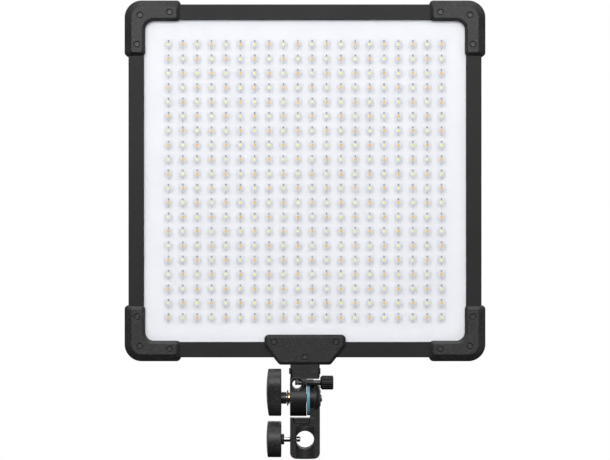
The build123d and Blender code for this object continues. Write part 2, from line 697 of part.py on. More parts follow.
def corner_cap():
    """The upper left cap: an L-shaped sleeve with sloped borders, front and back."""
    rim = cap_outline(0, 0, 0, CAP_RIM_Y)
    slopes = (CAP_OUTER_SLOPE, CAP_INNER_SLOPE, CAP_END_SLOPE)
    plateau = cap_outline(*slopes, CAP_FRONT_Y)
    crown = loft([rim, plateau], ruled=True)
    middle = extrude(cap_outline(0, 0, 0, -CAP_RIM_Y), amount=2 * CAP_RIM_Y, dir=(0, 0, 1))
    cap = crown + middle + mirror(crown, about=Plane.XY)
    cap = Pos(0, 0, PANEL_Z) * Rot(90, 0, 0) * cap
    outer, inner, half_y = BAR_OUTER + FIT, BAR_INNER - FIT, BAR_HALF_Y + FIT
    sleeve = block((-outer, outer), (-half_y, half_y), (inner, outer))
    sleeve &= rounded_square(outer, BAR_CORNER_R + FIT)
    for turn in (0, -90):
        cap -= Pos(0, 0, PANEL_Z) * Rot(0, turn, 0) * sleeve
    window_y = BAR_HALF_Y - BAR_FLANGE - FIT
    window = (PANEL_Z - inner - 1, PANEL_Z + inner + 1)
    cap -= block((-inner - 1, inner + 1), (-window_y, window_y), window)
    for across, down in CAP_SCREWS:
        cap -= screw_pocket(-CAP_OUTER + across, PANEL_Z + CAP_OUTER - down, -CAP_FRONT_Y)
    return cap


def corner_key():
    """The L-shaped key in the upper left corner of the bars' channels."""
    outer = BAR_OUTER - BAR_WEB - FIT
    leg = CAP_OUTER - KEY_LEG
    gusset = KEY_INNER - KEY_GUSSET
    points = [
        (-outer, outer),
        (-leg, outer),
        (-leg, KEY_INNER),
        (-gusset, KEY_INNER),
        (-KEY_INNER, gusset),
        (-KEY_INNER, leg),
        (-outer, leg),
    ]
    half_y = BAR_HALF_Y - BAR_FLANGE - FIT
    key = plate_y(make_face(Polyline(*points, close=True)), (-half_y, half_y))
    key &= rounded_square(outer, BAR_CORNER_R - BAR_WEB - FIT)
    key = Pos(0, 0, PANEL_Z) * key
    for across, down in CAP_SCREWS:
        x, z = -CAP_OUTER + across, PANEL_Z + CAP_OUTER - down
        key -= rod_y(SCREW_R + FIT, x, (-FAR, KEY_HOLE_END_Y), z)
    return key


def corner_cap_screws():
    return [panel_screw(x, z, -CAP_FRONT_Y, CAP_SCREW_LENGTH) for x, z in cap_screw_places()]


# ---- sheets, LEDs and spacers ----------------------------------------------------------


def sheet(y):
    """A square sheet with clipped corners and a notch for the foot's head."""
    side = 2 * SHEET_HALF
    body = Pos(0, 0, PANEL_Z) * Box(side, y[1] - y[0], side)
    body = chamfer(body.edges().filter_by(Axis.Y), SHEET_CORNER)
    body = Pos(0, (y[0] + y[1]) / 2, 0) * body
    notch_z = (0, NOTCH_TOP)
    return body - block((-NOTCH_HALF_X, NOTCH_HALF_X), (-FAR, FAR), notch_z)


def back_cover():
    cover = sheet(COVER_Y)
    slot_x, slot_z = LINK_HALF_X + LINK_SLOT_GAP, LINK_HALF_Z + LINK_SLOT_GAP
    cover -= block((-slot_x, slot_x), (-FAR, FAR), (BOX_Z - slot_z, BOX_Z + slot_z))
    for x, z in BOX_SCREWS:
        cover -= rod_y(SCREW_R + FIT, x, (-FAR, FAR), BOX_Z + z)
    return cover


def led_places(parity):
    """Positions (X, Z) of every other LED, as the squares of one colour on a chessboard."""
    first = -(LED_COUNT - 1) / 2 * LED_PITCH
    return [
        (first + column * LED_PITCH, LED_FIELD_Z - first - row * LED_PITCH)
        for column in range(LED_COUNT)
        for row in range(LED_COUNT)
        if (column + row) % 2 == parity
    ]


def led_packages(parity):
    y = BOARD_Y[0] - LED_SIZE[1] / 2
    return [Pos(x, y, z) * Box(*LED_SIZE) for x, z in led_places(parity)]


def spacer_strips(y):
    """Strips along the four sides that keep two sheets apart, cut short at the notch."""
    inner, outer = SHEET_HALF - SPACER_WIDTH, SHEET_HALF
    long = SPACER_HALF_LENGTH
    gap = NOTCH_HALF_X + 1
    low, high = PANEL_Z - outer, PANEL_Z + inner
    return [
        block((-long, long), y, (high, high + SPACER_WIDTH)),
        block((-outer, -inner), y, (PANEL_Z - long, PANEL_Z + long)),
        block((inner, outer), y, (PANEL_Z - long, PANEL_Z + long)),
        block((-long, -gap), y, (low, low + SPACER_WIDTH)),
        block((gap, long), y, (low, low + SPACER_WIDTH)),
    ]


# ---- connection box --------------------------------------------------------------------


def connection_box():
    """An open-fronted box on the back cover, with a flange and posts for its board."""
    front_y = COVER_Y[1] + FIT
    flange_x = BOX_HALF_X + BOX_FLANGE
    box_z = (BOX_Z - BOX_HALF_Z, BOX_Z + BOX_HALF_Z)
    body = block((-BOX_HALF_X, BOX_HALF_X), (front_y, BOX_BACK_Y), box_z)
    body = fillet(at_edge(body, Axis.Y, BOX_BACK_Y), BOX_ROUND)
    inner_x = BOX_HALF_X - BOX_WALL
    inner_z = (box_z[0] + BOX_WALL, box_z[1] - BOX_WALL)
    inner_back = BOX_BACK_Y - BOX_WALL
    flange = block((-flange_x, flange_x), (front_y, front_y + BOX_WALL), box_z)
    body += chamfer(flange.edges().filter_by(Axis.Y), BOX_ROUND)
    body -= block((-inner_x, inner_x), (front_y - 1, inner_back), inner_z)
    for x, z in BOX_POSTS:
        body += rod_y(BOX_POST_R, x, (INTERFACE_BOARD_Y[1] + FIT, inner_back + 1), BOX_Z + z)
    for x, z in BOX_SCREWS:
        body -= rod_y(SCREW_R + FIT, x, (0, FAR), BOX_Z + z)
    return body - rod_z(INLET_SHELL_R + FIT, 0, INLET_Y, (box_z[0] - 1, box_z[0] + BOX_WALL + 1))


def connection_box_screws():
    """Four pan-head screws through the box's flange and the back cover."""
    seat = COVER_Y[1] + FIT + BOX_WALL
    screws = []
    for x, z in BOX_SCREWS:
        head = rod_y(SCREW_HEAD_R, x, (seat, seat + SCREW_HEAD_HEIGHT), BOX_Z + z)
        head = fillet(at_edge(head, Axis.Y, seat + SCREW_HEAD_HEIGHT), SCREW_HEAD_ROUND)
        screws.append(head + rod_y(SCREW_R, x, (seat - BOX_SCREW_LENGTH, seat), BOX_Z + z))
    return screws


def interface_board():
    half_x, half_z = INTERFACE_BOARD_HALF_X, INTERFACE_BOARD_HALF_Z
    return block((-half_x, half_x), INTERFACE_BOARD_Y, (BOX_Z - half_z, BOX_Z + half_z))


def link_connector():
    """The plug that joins the LED board to the interface board through the cover."""
    x = (-LINK_HALF_X, LINK_HALF_X)
    y = (BOARD_Y[1], INTERFACE_BOARD_Y[0])
    return block(x, y, (BOX_Z - LINK_HALF_Z, BOX_Z + LINK_HALF_Z))


def inlet_levels():
    """Z of the box's lower face, outside and inside."""
    outside = BOX_Z - BOX_HALF_Z
    return outside, outside + BOX_WALL


def inlet_shell():
    """The panel socket's threaded barrel and flange, facing down."""
    outside, inside = inlet_levels()
    barrel = rod_z(INLET_SHELL_R, 0, INLET_Y, (outside - INLET_SHELL_OUT, inside + INLET_SHELL_IN))
    flange = rod_z(INLET_FLANGE_R, 0, INLET_Y, (outside - INLET_FLANGE_THICKNESS, outside))
    return barrel + flange - rod_z(INLET_BORE_R, 0, INLET_Y, (0, FAR))


def inlet_nut():
    _, inside = inlet_levels()
    hexagon = extrude(RegularPolygon(INLET_FLANGE_R, 6), amount=INLET_NUT_HEIGHT)
    return Pos(0, INLET_Y, inside) * hexagon - rod_z(INLET_SHELL_R + FIT, 0, INLET_Y, (0, FAR))


def inlet_pin_places():
    turns = [radians(360 * i / INLET_PINS + 45) for i in range(INLET_PINS)]
    return [(INLET_PIN_CIRCLE_R * cos(t), INLET_Y + INLET_PIN_CIRCLE_R * sin(t)) for t in turns]


def inlet_insert():
    """The insulator that carries the contact pins."""
    outside, inside = inlet_levels()
    span = (outside - INLET_INSERT_OUT, inside + INLET_SHELL_IN)
    insert = rod_z(INLET_BORE_R - RUNNING, 0, INLET_Y, span)
    for x, y in inlet_pin_places():
        insert -= rod_z(INLET_PIN_R + RUNNING, x, y, (0, FAR))
    return insert


def inlet_pins():
    outside, inside = inlet_levels()
    span = (outside - INLET_PIN_REACH, inside + INLET_PIN_REACH)
    return [rod_z(INLET_PIN_R, x, y, span) for x, y in inlet_pin_places()]


# ---- the assembly ----------------------------------------------------------------------


def nodes():
    """Every sub-part by name. A list is a group of identical pieces."""
    parts = {
        "stand_receiver": receiver(),
        "tilt_bolt": tilt_bolt(),
        "friction_disc": friction_disc(),
        "thrust_washer": thrust_washer(),
        "steel_washer": steel_washer(),
        "tilt_lever": tilt_lever(),
        "tilt_lever_insert": lever_insert(),
        "clamp_knob": clamp_knob(),
        "clamp_screw": clamp_screw(),
        "clamp_pad": clamp_pad(),
        "tilt_head": tilt_head(),
        "thumb_screw": thumb_screw(),
        "thumb_screw_pad": thumb_pad(),
        "thumb_knob": thumb_knob(),
        "bracket_foot": bracket_foot(),
        "cross_bolt": cross_bolt(),
        "cross_bolt_nut": cross_nut(),
        "mount_plate_front": mount_plate(),
        "mount_plate_rear": front_to_back(mount_plate()),
        "mount_plate_screws": mount_plate_screws(),
        "frame_bar_top": frame_bar(0),
        "frame_bar_left": frame_bar(-90),
        "frame_bar_right": frame_bar(90),
        "frame_bar_bottom": bottom_bar(),
        "corner_cap_screws": corner_cap_screws(),
        "lens_sheet": sheet(LENS_Y),
        "led_board": sheet(BOARD_Y),
        "leds_cool": led_packages(0),
        "leds_warm": led_packages(1),
        "back_cover": back_cover(),
        "front_spacer_strips": spacer_strips((LENS_Y[1], BOARD_Y[0])),
        "rear_spacer_strips": spacer_strips((BOARD_Y[1], COVER_Y[0])),
        "connection_box": connection_box(),
        "connection_box_screws": connection_box_screws(),
        "interface_board": interface_board(),
        "link_connector": link_connector(),
        "inlet_shell": inlet_shell(),
        "inlet_nut": inlet_nut(),
        "inlet_insert": inlet_insert(),
        "inlet_pins": inlet_pins(),
    }
    cap, key = corner_cap(), corner_key()
    for corner, placed in corner_turns().items():
        parts[f"corner_cap_{corner}"] = placed(cap)
        parts[f"corner_key_{corner}"] = placed(key)
    return parts


os.makedirs("parts", exist_ok=True)
for name, part in nodes().items():
    solid = Compound(children=part) if isinstance(part, list) else part
    export_step(solid, f"parts/{name}.step")
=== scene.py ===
"""Looks of the LED panel light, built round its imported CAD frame.

Metres, in the row frame: +Z up, the light shines towards -Y, the origin at the mouth of
the stand socket. Places come from the CAD nodes' boxes.
"""

import json
import math

import bmesh
import bpy
import numpy as np
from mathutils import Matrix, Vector


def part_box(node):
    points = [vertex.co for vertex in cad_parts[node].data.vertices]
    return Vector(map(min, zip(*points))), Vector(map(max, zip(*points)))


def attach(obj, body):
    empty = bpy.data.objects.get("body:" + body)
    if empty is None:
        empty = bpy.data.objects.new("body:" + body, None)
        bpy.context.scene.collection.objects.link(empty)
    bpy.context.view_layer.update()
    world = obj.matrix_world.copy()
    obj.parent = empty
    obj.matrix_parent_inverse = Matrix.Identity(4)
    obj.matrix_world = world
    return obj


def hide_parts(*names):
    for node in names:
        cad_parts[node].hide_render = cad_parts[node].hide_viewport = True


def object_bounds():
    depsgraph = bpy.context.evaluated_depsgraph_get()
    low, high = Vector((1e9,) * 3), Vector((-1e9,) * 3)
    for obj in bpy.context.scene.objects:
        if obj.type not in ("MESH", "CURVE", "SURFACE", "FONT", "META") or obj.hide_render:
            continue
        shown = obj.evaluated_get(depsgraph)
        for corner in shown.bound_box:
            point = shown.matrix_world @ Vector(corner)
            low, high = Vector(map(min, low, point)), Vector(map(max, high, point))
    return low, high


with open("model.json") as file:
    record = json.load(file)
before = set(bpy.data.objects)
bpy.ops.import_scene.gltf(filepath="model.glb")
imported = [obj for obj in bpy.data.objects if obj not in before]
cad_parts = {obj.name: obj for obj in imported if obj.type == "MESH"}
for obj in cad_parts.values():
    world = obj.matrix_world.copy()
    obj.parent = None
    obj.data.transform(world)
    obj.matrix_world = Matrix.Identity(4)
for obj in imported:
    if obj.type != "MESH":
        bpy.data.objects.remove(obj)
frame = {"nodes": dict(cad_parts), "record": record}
CAD_LOW, CAD_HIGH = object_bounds()

MM = 0.001

# ---- the LED field ---------------------------------------------------------------------

LED_COUNT = 20
LED_PITCH = 13.0 * MM
LED_BODY = (2.8 * MM, 3.5 * MM)  # across X and Z
LED_CORNER = 0.15 * MM
LED_POINTS = 16  # points round one package
PHOSPHOR_HALF = (1.16 * MM, 1.45 * MM)
PHOSPHOR_SUNK = 0.16 * MM
TERMINAL_HALF = (0.95 * MM, 0.30 * MM)
TERMINAL_CORNER = 0.06 * MM
TERMINAL_INSET = 0.28 * MM
TERMINAL_HEIGHT = 0.3  # as a share of the package's height
TERMINAL_POINTS = 8
LED_SHELL, LED_FILL, LED_FOOT = range(3)  # material places in a package

LENS_PAD = (7.8 * MM, 9.0 * MM)
LENS_PAD_CORNER = 1.6 * MM
LENS_PAD_HEIGHT = 0.35 * MM
LENS_PAD_SLOPE = 0.35 * MM
LENS_DOME = (5.9 * MM, 5.1 * MM)
LENS_DOME_HEIGHT = 0.55 * MM
LENS_GROOVE = 0.45 * MM
# The pins are coloured as painted shade: the upper one deep, the lower one lighter.
PIN_RADIUS = 0.62 * MM
PIN_ABOVE = 3.2 * MM
PIN_BELOW = -3.5 * MM
PIN_GAP = 0.02 * MM  # keeps a pin's end off the sheet's back face
PIN_POINTS = 10
LOOP_POINTS = 24  # points round one lens, a multiple of 4
WELD = 0.001 * MM
# The pad and ring places carry darker tints as painted shade of the lenses' refraction.
SHEET_CLEAR, SHEET_PAD_SHADE, SHEET_RING_SHADE, PIN_DEEP_SHADE, PIN_LIGHT_SHADE = range(5)  # its material places

# ---- camera and light ------------------------------------------------------------------

CAMERA_PLACE = (0.0, -3.008, 0.2066)
CAMERA_SENSOR = 36.0
CAMERA_LENS = 195.98
FLOOR_LEVEL = -0.30
FLOOR_RADIUS = 3.0
FLOOR_POINTS = 96
FRONT_SKY = 0.30  # how bright the sky in front is against the sky behind
SKY_SPAN = (-0.7, 0.1)  # where along Y the sky turns from front to behind
SKY_LEVELS = ((0.0, 0.02), (0.36, 0.05), (0.46, 0.45), (0.54, 0.85), (0.70, 1.0), (1.0, 1.1))
LIGHTS = (  # name, place, size and power in watts
    ("key", (-0.2, -3.0, 1.3), (2.4, 1.6), 84),
    ("top", (0.0, 0.2, 2.4), (2.4, 1.6), 60),
    ("back", (0.9, 2.6, 1.6), (2.0, 1.6), 30),
)

# ---- surface detail --------------------------------------------------------------------

BROAD_PATCH = 28 * MM
# Size of the patches that break up the edge wear and painted edge highlight.
WEAR_AND_HIGHLIGHT_PATCH = 2.2 * MM
SPECKLE_LIFT = 4.0  # how much paler a speckle is than the coat
CLEAR_IOR = 1.49


# ---- shader building blocks ------------------------------------------------------------


class Surface:
    """A Principled material and the nodes that feed it."""

    def __init__(self, name, colour, roughness, metallic=0.0, specular=0.5):
        self.material = bpy.data.materials.new(name)
        self.material.use_nodes = True
        self.tree = self.material.node_tree
        self.shader = self.tree.nodes["Principled BSDF"]
        self.place = self.node("ShaderNodeTexCoord").outputs["Object"]
        self.set("Base Color", (*colour, 1.0))
        self.set("Roughness", roughness)
        self.set("Metallic", metallic)
        self.set("Specular IOR Level", specular)
        self.material.diffuse_color = (*colour, 1.0)

    def node(self, kind, **settings):
        made = self.tree.nodes.new(kind)
        for key, value in settings.items():
            setattr(made, key, value)
        return made

    def set(self, socket, value):
        """Gives a shader input a value, or the output of another node."""
        self.join(value, self.shader.inputs[socket])

    def join(self, value, socket):
        if isinstance(value, bpy.types.NodeSocket):
            self.tree.links.new(value, socket)
        else:
            socket.default_value = value

    def noise(self, size, detail=2.0, roughness=0.5, stretch=None):
        """Noise from 0 to 1, whose features are about size across."""
        place = self.place
        if stretch is not None:
            scaled = self.node("ShaderNodeMapping")
            self.join(place, scaled.inputs["Vector"])
            scaled.inputs["Scale"].default_value = stretch
            place = scaled.outputs["Vector"]
        texture = self.node("ShaderNodeTexNoise")
        self.join(place, texture.inputs["Vector"])
        texture.inputs["Scale"].default_value = 1 / size
        texture.inputs["Detail"].default_value = detail
        texture.inputs["Roughness"].default_value = roughness
        return texture.outputs["Fac"]

    def cells(self, size):
        """Distance to scattered points about size apart."""
        texture = self.node("ShaderNodeTexVoronoi", feature="F1")
        self.join(self.place, texture.inputs["Vector"])
        texture.inputs["Scale"].default_value = 1 / size
        return texture.outputs["Distance"]

    def spread(self, value, low, high, to_low=0.0, to_high=1.0):
        """Maps the range low to high onto to_low to to_high, and holds it there."""
        mapped = self.node("ShaderNodeMapRange")
        self.join(value, mapped.inputs["Value"])
        for socket, number in zip(("From Min", "From Max", "To Min", "To Max"),
                                  (low, high, to_low, to_high)):
            mapped.inputs[socket].default_value = number
        return mapped.outputs["Result"]

    def maths(self, operation, first, second=0.0):
        made = self.node("ShaderNodeMath", operation=operation)
        self.join(first, made.inputs[0])
        self.join(second, made.inputs[1])
        return made.outputs[0]

    def blend(self, share, first, second):
        """A colour from first to second."""
        made = self.node("ShaderNodeMix", data_type="RGBA")
        self.join(share, made.inputs["Factor"])
        for socket, colour in ((made.inputs[6], first), (made.inputs[7], second)):
            linked = isinstance(colour, bpy.types.NodeSocket)
            self.join(colour if linked else (*colour, 1.0), socket)
        return made.outputs[2]

    def bump(self, height, depth, normal=None):
        """A normal that follows a height of 0 to 1 over the given depth."""
        made = self.node("ShaderNodeBump")
        made.inputs["Strength"].default_value = 1.0
        made.inputs["Distance"].default_value = depth
        self.join(height, made.inputs["Height"])
        if normal is not None:
            self.join(normal, made.inputs["Normal"])
        return made.outputs["Normal"]

    def round_edge(self, radius):
        """The normal of the surface as if its edges were rounded off."""
        made = self.node("ShaderNodeBevel", samples=6)
        made.inputs["Radius"].default_value = radius
        return made.outputs["Normal"]

    def edge_share(self, radius):
        """1 along edges and 0 on flat faces."""
        true_normal = self.node("ShaderNodeNewGeometry").outputs["Normal"]
        dot = self.node("ShaderNodeVectorMath", operation="DOT_PRODUCT")
        self.join(self.round_edge(radius), dot.inputs[0])
        self.join(true_normal, dot.inputs[1])
        return self.spread(dot.outputs["Value"], 0.998, 0.90)


# ---- materials by slot -----------------------------------------------------------------


def coated(name, colour, roughness, grain, depth, edge=0.25 * MM, wear_and_highlight=0.35, specular=0.5,
           patches=0.25, worn_and_highlight=(0.11, 0.11, 0.11)):
    """A dark coat or moulded plastic: fine grain, uneven gloss, and edges paled by rubbed wear and
    by a painted highlight.
    """
    surface = Surface(name, colour, roughness, specular=specular)
    fine = surface.noise(grain, detail=3.0, roughness=0.6)
    broad = surface.noise(BROAD_PATCH, detail=4.0, roughness=0.55)
    # Edges pale towards the worn colour: partly rubbed wear, partly a painted highlight along the
    # edges.
    rubbed_and_highlit = surface.maths(
        "MULTIPLY",
        surface.edge_share(edge),
        surface.spread(surface.noise(WEAR_AND_HIGHLIGHT_PATCH, detail=4.0), 0.42, 0.72, 0.0, wear_and_highlight),
    )
    light = tuple(c * (1 + patches) + 0.001 for c in colour)
    dark = tuple(c * (1 - patches) for c in colour)
    shade = surface.blend(surface.spread(broad, 0.35, 0.65), dark, light)
    pale = tuple(c * SPECKLE_LIFT for c in colour)
    speckle = surface.blend(surface.spread(fine, 0.54, 0.70, 0.0, 0.9), shade, pale)
    surface.set("Base Color", surface.blend(rubbed_and_highlit, speckle, worn_and_highlight))
    gloss = surface.spread(broad, 0.3, 0.7, roughness - 0.05, roughness + 0.05)
    gloss = surface.maths("ADD", gloss, surface.spread(fine, 0.3, 0.7, -0.05, 0.05))
    polish = surface.maths("MULTIPLY", rubbed_and_highlit, 0.15)
    surface.set("Roughness", surface.maths("SUBTRACT", gloss, polish))
    surface.set("Normal", surface.bump(fine, depth, surface.round_edge(edge)))
    return surface.material


def bare_metal(name, colour, roughness, stretch, edge=0.15 * MM, depth=0.004 * MM):
    """Plated or turned metal with fine lines the way it was cut."""
    surface = Surface(name, colour, roughness, metallic=1.0)
    lines = surface.noise(0.5 * MM, detail=3.0, stretch=stretch)
    stain = surface.noise(6 * MM, detail=3.0)
    dull = tuple(c * 0.78 for c in colour)
    surface.set("Base Color", surface.blend(surface.spread(stain, 0.35, 0.75), colour, dull))
    surface.set("Roughness", surface.spread(lines, 0.3, 0.7, roughness - 0.06, roughness + 0.10))
    surface.set("Normal", surface.bump(lines, depth, surface.round_edge(edge)))
    return surface.material


def friction_plastic(name):
    """The teal disc of the tilt joint, with pale flecks rubbed into it."""
    teal, deep = (0.130, 0.360, 0.470), (0.065, 0.235, 0.340)
    surface = Surface(name, teal, 0.45)
    tone = surface.blend(surface.spread(surface.noise(3 * MM, detail=4.0), 0.35, 0.65), teal, deep)
    flecks = surface.spread(surface.cells(1.3 * MM), 0.30, 0.18)
    broken = surface.maths("MULTIPLY", flecks, surface.spread(surface.noise(2.4 * MM), 0.48, 0.56))
    surface.set("Base Color", surface.blend(broken, tone, (0.46, 0.50, 0.53)))
    surface.set("Roughness", surface.spread(surface.noise(0.8 * MM), 0.3, 0.7, 0.38, 0.55))
    grain = surface.noise(0.35 * MM)
    surface.set("Normal", surface.bump(grain, 0.02 * MM, surface.round_edge(0.15 * MM)))
    return surface.material


def solder_mask(name):
    """The white LED board, with the faint mottling of its printed coat."""
    surface = Surface(name, (0.80, 0.81, 0.82), 0.55)
    tone = surface.spread(surface.noise(34 * MM, detail=3.0), 0.35, 0.65)
    surface.set("Base Color", surface.blend(tone, (0.785, 0.792, 0.812), (0.81, 0.816, 0.832)))
    grain = surface.noise(0.5 * MM, detail=3.0)
    surface.set("Roughness", surface.spread(grain, 0.3, 0.7, 0.5, 0.62))
    surface.set("Normal", surface.bump(grain, 0.004 * MM))
    return surface.material


def pale_plastic(name, colour, roughness=0.45):
    """Plain moulded plastic in a light or middling colour."""
    surface = Surface(name, colour, roughness)
    tone = surface.spread(surface.noise(5 * MM, detail=3.0), 0.3, 0.7)
    surface.set("Base Color", surface.blend(tone, tuple(c * 0.9 for c in colour), colour))
    grain = surface.noise(0.25 * MM, detail=2.0)
    surface.set("Roughness", surface.spread(grain, 0.3, 0.7, roughness - 0.06, roughness + 0.08))
    surface.set("Normal", surface.bump(grain, 0.006 * MM, surface.round_edge(0.1 * MM)))
    return surface.material


def phosphor(name, middle, rim):
    """The silicone that fills an LED, its colour varied at random between two shades."""
    surface = Surface(name, middle, 0.28)
    grain = surface.noise(0.3 * MM, detail=3.0)
    surface.set("Base Color", surface.blend(surface.spread(grain, 0.35, 0.7), middle, rim))
    surface.set("Roughness", surface.spread(grain, 0.3, 0.7, 0.22, 0.34))
    surface.set("Subsurface Weight", 0.15)
    surface.set("Subsurface Scale", 0.5 * MM)
    surface.set("Normal", surface.bump(grain, 0.01 * MM))
    return surface.material


def clear_sheet(name, tint_and_shade, haze_and_shade, haze_and_shade_colour):
    """Clear moulded plastic: mostly see-through, with its gloss and a trace of haze; on the lens
    pads and rings a darker tint and haze colour are painted shade.
    """
    surface = Surface(name, haze_and_shade_colour, 0.16)
    ripple = surface.noise(9 * MM, detail=2.0)
    surface.set("Roughness", surface.spread(ripple, 0.3, 0.7, 0.12, 0.2))
    surface.set("Normal", surface.bump(ripple, 0.02 * MM))
    through = surface.node("ShaderNodeBsdfTransparent")
    through.inputs["Color"].default_value = (*tint_and_shade, 1.0)
    mixed = surface.node("ShaderNodeMixShader")
    facing = surface.node("ShaderNodeFresnel")
    facing.inputs["IOR"].default_value = CLEAR_IOR
    share = surface.maths("ADD", facing.outputs["Fac"], haze_and_shade)
    surface.join(share, mixed.inputs["Fac"])
    surface.join(through.outputs["BSDF"], mixed.inputs[1])
    surface.join(surface.shader.outputs["BSDF"], mixed.inputs[2])
    output = surface.tree.nodes["Material Output"]
    surface.join(mixed.outputs["Shader"], output.inputs["Surface"])
    return surface.material


def slot_materials():
    """One material for each slot of the record."""
    return {
        # The cast coat and black steel pale their edges strongly: wear and a painted edge
        # highlight.
        "cast_metal": coated("cast_coat", (0.011, 0.011, 0.012), 0.38, 0.70 * MM, 0.035 * MM,
                             edge=0.45 * MM, wear_and_highlight=1.0, specular=0.25, worn_and_highlight=(0.20, 0.20, 0.20)),
        "frame_metal": coated("frame_coat", (0.009, 0.009, 0.010), 0.46, 0.40 * MM, 0.016 * MM,
                              edge=0.30 * MM, wear_and_highlight=0.25, specular=0.2),
        "plate_metal": coated("plate_coat", (0.013, 0.013, 0.014), 0.44, 1.00 * MM, 0.090 * MM,
                              edge=0.40 * MM, wear_and_highlight=0.3, specular=0.25),
        "cap_plastic": coated("cap_plastic", (0.016, 0.016, 0.017), 0.42, 1.10 * MM, 0.100 * MM,
                             edge=0.50 * MM, wear_and_highlight=0.25, specular=0.3),
        "handle_plastic": coated("handle_plastic", (0.024, 0.024, 0.025), 0.42, 1.10 * MM,
                                 0.110 * MM, edge=0.35 * MM, wear_and_highlight=0.2, specular=0.3),
        "knob_plastic": coated("knob_plastic", (0.004, 0.004, 0.005), 0.40, 0.30 * MM, 0.020 * MM,
                               edge=0.20 * MM, wear_and_highlight=0.2, specular=0.2),
        "black_steel": coated("black_steel", (0.020, 0.020, 0.021), 0.32, 0.25 * MM, 0.008 * MM,
                              edge=0.15 * MM, wear_and_highlight=0.6, specular=0.45, worn_and_highlight=(0.22, 0.22, 0.22)),
        "cover_metal": coated("cover_coat", (0.016, 0.016, 0.017), 0.52, 0.40 * MM, 0.020 * MM,
                              edge=0.25 * MM, wear_and_highlight=0.2),
        "box_plastic": coated("box_plastic", (0.020, 0.020, 0.021), 0.52, 0.50 * MM, 0.035 * MM,
                              edge=0.50 * MM, wear_and_highlight=0.25),
        "insulator": coated("insulator", (0.020, 0.020, 0.020), 0.55, 0.20 * MM, 0.010 * MM,
                            edge=0.10 * MM, wear_and_highlight=0.0),
        "steel": bare_metal("bright_steel", (0.86, 0.86, 0.87), 0.30, (0.15, 1.0, 1.0)),
        "chrome_steel": bare_metal("chrome_plate", (0.48, 0.48, 0.49), 0.22, (1.0, 0.3, 0.3)),
        "brass": bare_metal("brass", (0.78, 0.55, 0.24), 0.24, (1.0, 0.2, 0.2)),
        "key_metal": bare_metal("key_metal", (0.50, 0.50, 0.51), 0.42, (1.0, 1.0, 1.0),
                                depth=0.02 * MM),
        "disc_plastic": friction_plastic("disc_plastic"),
        "board_white": solder_mask("solder_mask"),
        "spacer_plastic": pale_plastic("spacer_plastic", (0.78, 0.78, 0.78), 0.7),
        "circuit_board": pale_plastic("circuit_board", (0.02, 0.16, 0.07), 0.4),
    }


# ---- meshes ----------------------------------------------------------------------------


def rounded_rectangle(half_x, half_z, corner, points=LOOP_POINTS):
    """A loop of points, anticlockwise from the lower right corner's start."""
    loop = []
    per_corner = points // 4
    for turn, (sx, sz) in enumerate(((1, -1), (1, 1), (-1, 1), (-1, -1))):
        centre = np.array((sx * (half_x - corner), sz * (half_z - corner)))
        for i in range(per_corner):
            angle = math.radians(90 * (turn - 1) + 90 * i / (per_corner - 1))
            loop.append(centre + corner * np.array((math.cos(angle), math.sin(angle))))
    return np.array(loop)


def square_loop(half, points=LOOP_POINTS):
    """A square whose points are evenly spaced, so that neighbouring squares share them."""
    per_side = points // 4
    steps = np.linspace(-half, half, per_side, endpoint=False)
    sides = [
        np.column_stack((np.full(per_side, half), steps)),
        np.column_stack((-steps, np.full(per_side, half))),
        np.column_stack((np.full(per_side, -half), -steps)),
        np.column_stack((steps, np.full(per_side, -half))),
    ]
    return np.concatenate(sides)


def ellipse(half_x, half_z, points=LOOP_POINTS):
    """An ellipse whose points lie opposite those of the loops above."""
    angles = np.radians(-45 + 360 * np.arange(points) / points)
    return np.column_stack((half_x * np.cos(angles), half_z * np.sin(angles)))


class Shell:
    """Vertices and faces of one pattern, gathered before it is repeated."""

    def __init__(self):
        self.points, self.faces, self.slots = [], [], []

    def loop(self, outline, y):
        """Adds a closed loop in a plane of constant Y and returns where it starts."""
        start = len(self.points)
        self.points += [(x, y, z) for x, z in outline]
        return start

    def band(self, first, second, count, slot):
        """Joins two loops of the same number of points."""
        for i in range(count):
            j = (i + 1) % count
            self.faces.append((first + i, second + i, second + j, first + j))
            self.slots.append(slot)

    def stack(self, loops, count):
        """Adds loops of (outline, Y, material) and joins each to the one before it."""
        starts = [self.loop(outline, y) for outline, y, _ in loops]
        for (start, end), (_, _, slot) in zip(zip(starts, starts[1:]), loops[1:]):
            self.band(start, end, count, slot)
        return starts

    def lid(self, first, count, slot, reverse=False):
        """Closes a loop with one face."""
        ring = list(range(first, first + count))
        self.faces.append(tuple(reversed(ring)) if reverse else tuple(ring))
        self.slots.append(slot)

    def repeated(self, places):
        """The same pattern at every place, as one list of points and faces."""
        single, many = np.array(self.points), Shell()
        for index, (x, y, z) in enumerate(places):
            shift = index * len(single)
            many.points += (single + (x, y, z)).tolist()
            many.faces += [tuple(v + shift for v in face) for face in self.faces]
            many.slots += self.slots
        return many

    def add(self, other):
        """Takes in another shell's points and faces."""
        shift = len(self.points)
        self.points += other.points
        self.faces += [tuple(v + shift for v in face) for face in other.faces]
        self.slots += other.slots
        return self


def make_piece(name, shell, materials, smooth_angle=35.0, weld=None):
    """A mesh object from a shell, with its normals pointing outwards."""
    mesh = bpy.data.meshes.new(name)
    mesh.from_pydata(shell.points, [], shell.faces)
    for material in materials:
        mesh.materials.append(material)
    mesh.polygons.foreach_set("material_index", shell.slots)
    piece = bpy.data.objects.new(name, mesh)
    bpy.context.scene.collection.objects.link(piece)
    tidy_mesh(mesh, weld)
    mesh.shade_smooth()
    mesh.set_sharp_from_angle(angle=math.radians(smooth_angle))
    return piece


